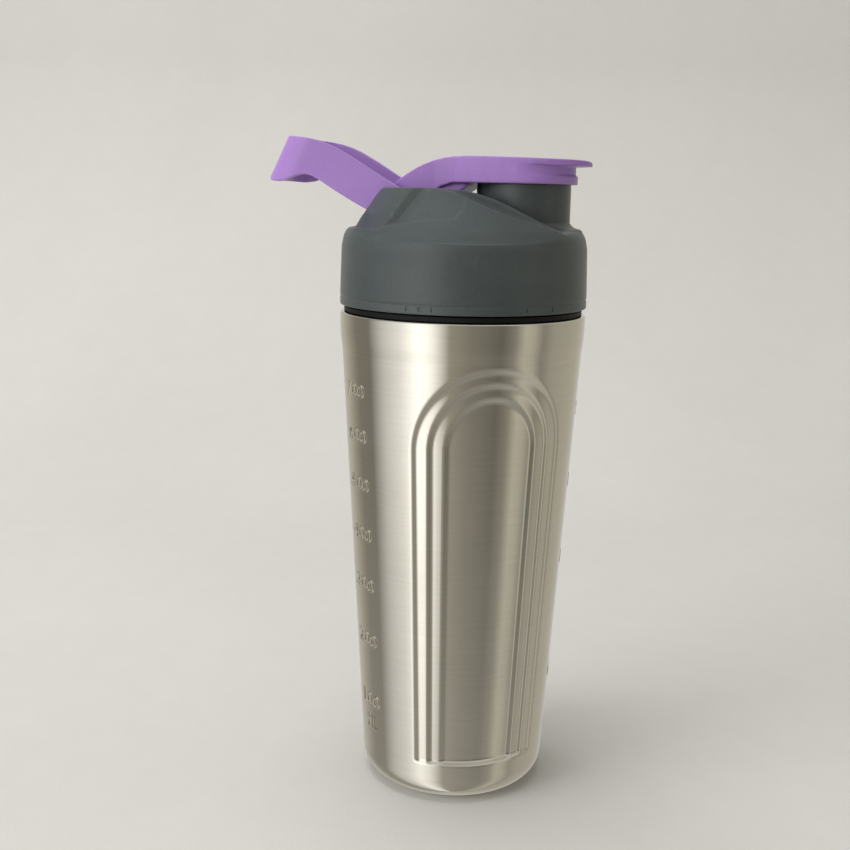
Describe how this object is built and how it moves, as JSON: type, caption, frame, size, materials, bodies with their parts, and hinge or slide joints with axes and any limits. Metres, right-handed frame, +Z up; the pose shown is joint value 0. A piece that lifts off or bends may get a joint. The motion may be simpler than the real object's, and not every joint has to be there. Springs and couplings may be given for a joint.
{
  "type": "protein shaker bottle",
  "caption": "Tapered steel shaker cup with pressed arch panels, screw lid with round spout, flip cap, swinging carry loop and a wire whisk ball inside.",
  "frame": {"origin": "centre of the flat base, on the surface the bottle stands on", "axes": "+Z up along the cup's axis; +X from the lid's centre towards the spout; hinge axis of the flip cap and carry loop along Y"},
  "size_m": [0.1201, 0.094, 0.2494],
  "materials": {
    "brushed_steel": "satin brushed",
    "black_collar": "moulded black",
    "slate_lid": "satin moulded slate grey",
    "purple_cap": "satin moulded purple",
    "purple_loop": "satin moulded purple",
    "milky_silicone": "translucent silicone",
    "grey_silicone": "silicone",
    "plug_silicone": "silicone",
    "pin_steel": "ground pin",
    "whisk_wire": "polished wire"
  },
  "bodies": {
    "cup": {"steel_body": "brushed_steel", "neck_collar": "black_collar", "collar_seal": "grey_silicone"},
    "lift": {"lid_gasket": "milky_silicone"},
    "lid": {"lid_shell": "slate_lid", "hinge_pin": "pin_steel"},
    "cap": {"flip_cap": "purple_cap", "spout_seal": "plug_silicone"},
    "loop": {"carry_loop": "purple_loop"},
    "ball": {"whisk_ball": "whisk_wire"}
  },
  "joints": [
    {"name": "lid_lift", "type": "slide", "parent": "cup", "child": "lift", "axis": [0, 0, 1], "range_m": [0, 0.0151]},
    {"name": "lid_turn", "type": "hinge", "parent": "lift", "child": "lid", "pos_m": [0, 0, 0.2], "axis": [0, 0, 1], "range_deg": [0, 450]},
    {"name": "cap_flip", "type": "hinge", "parent": "lid", "child": "cap", "pos_m": [-0.0215, 0, 0.224], "axis": [0, -1, 0], "range_deg": [0, 90]},
    {"name": "loop_swing", "type": "hinge", "parent": "lid", "child": "loop", "pos_m": [-0.0215, 0, 0.224], "axis": [0, 1, 0], "range_deg": [-26, 4]},
    {"name": "ball_shake", "type": "slide", "parent": "cup", "child": "ball", "axis": [0, 0, 1], "range_m": [0, 0.16]}
  ],
  "couplings": [
    {"joint": "lid_lift", "follows": "lid_turn", "m_per_rad": 0.0019099}
  ]
}
